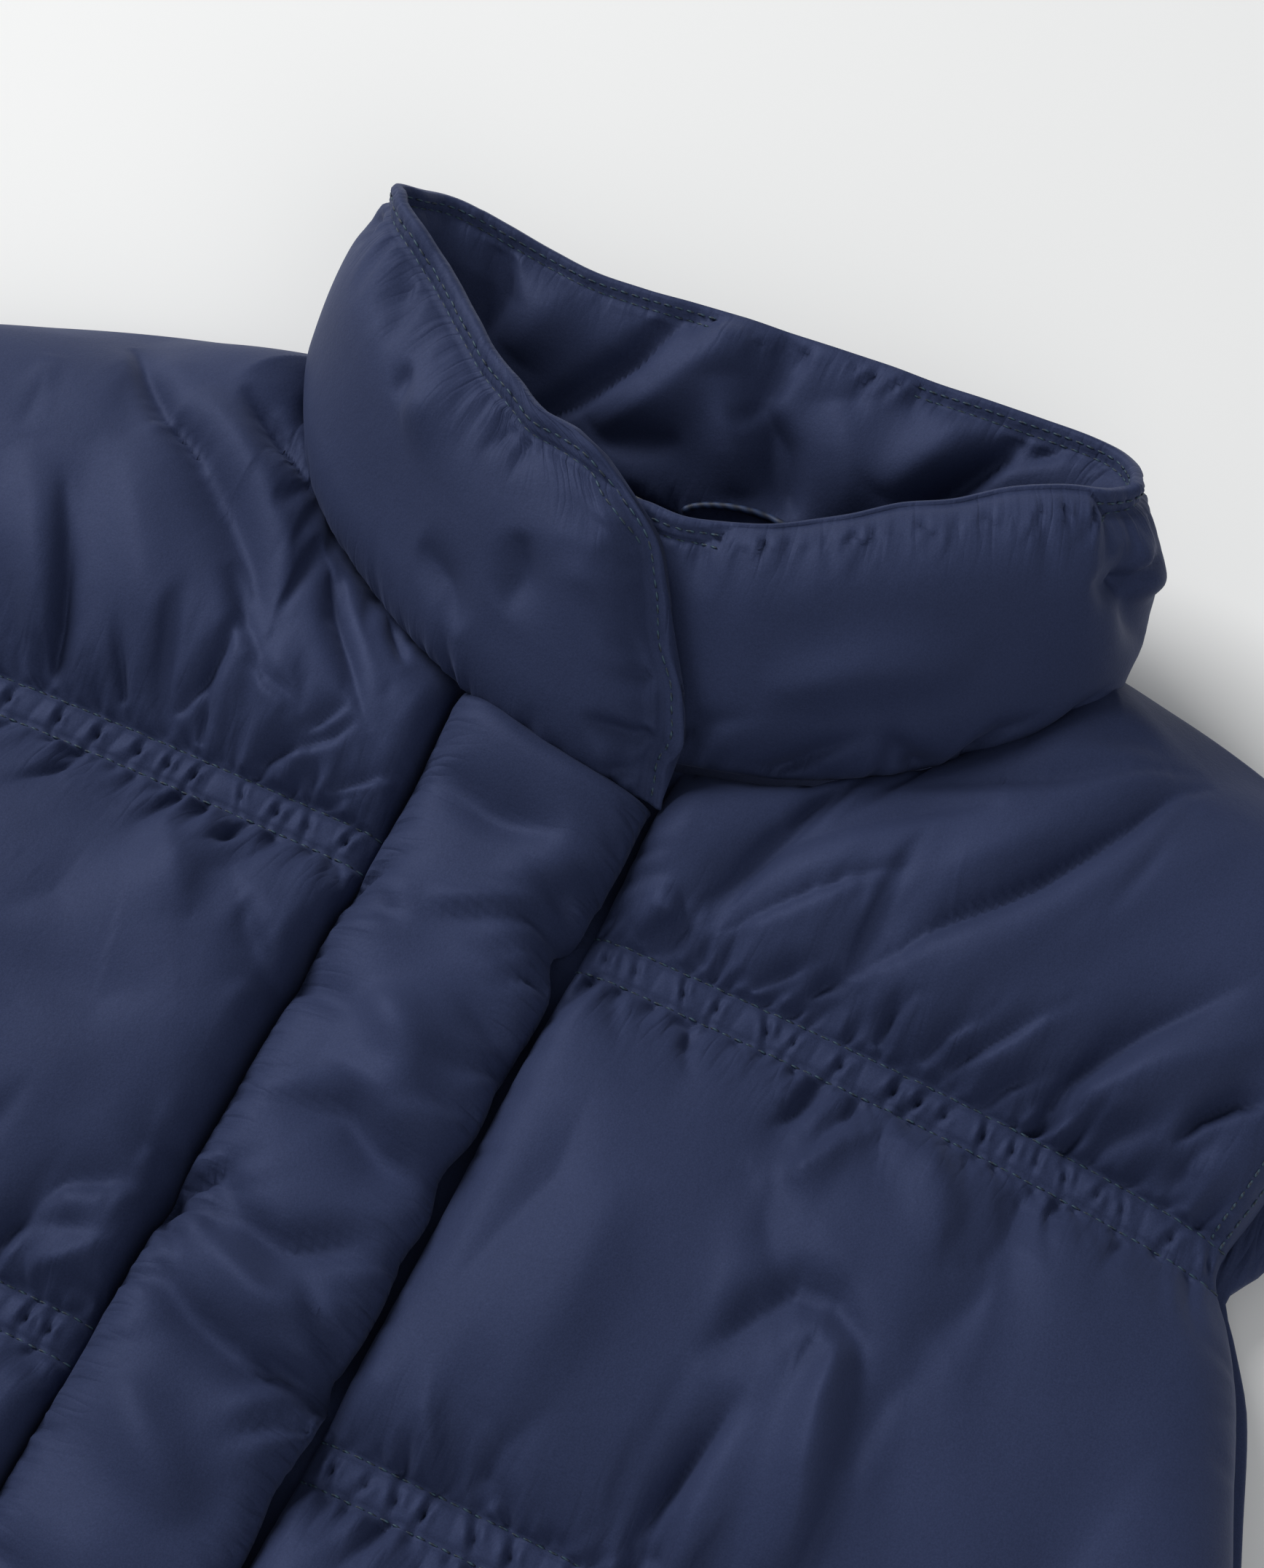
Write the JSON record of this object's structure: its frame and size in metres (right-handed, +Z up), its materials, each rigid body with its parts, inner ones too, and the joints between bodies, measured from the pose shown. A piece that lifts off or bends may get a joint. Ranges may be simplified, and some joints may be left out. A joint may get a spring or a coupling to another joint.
{
  "type": "quilted vest",
  "caption": "Padded, gathered vest in navy woven fabric, closed at the front under a padded placket, with a standing collar lapped in front and a hanger loop, laid out on its back",
  "frame": {"origin": "middle of the resting footprint, on the surface that the vest lies on", "axes": "+X to the wearer's left, +Y from the hem to the neck, +Z up from the surface, out of the front"},
  "size_m": [0.462, 0.5794, 0.0777],
  "materials": {
    "shell_fabric": "satin",
    "loop_cord": "matte"
  },
  "bodies": {
    "root": {"back": "shell_fabric", "front_left": "shell_fabric", "front_right": "shell_fabric", "placket": "shell_fabric", "collar": "shell_fabric", "hanger_loop": "loop_cord"}
  },
  "joints": []
}
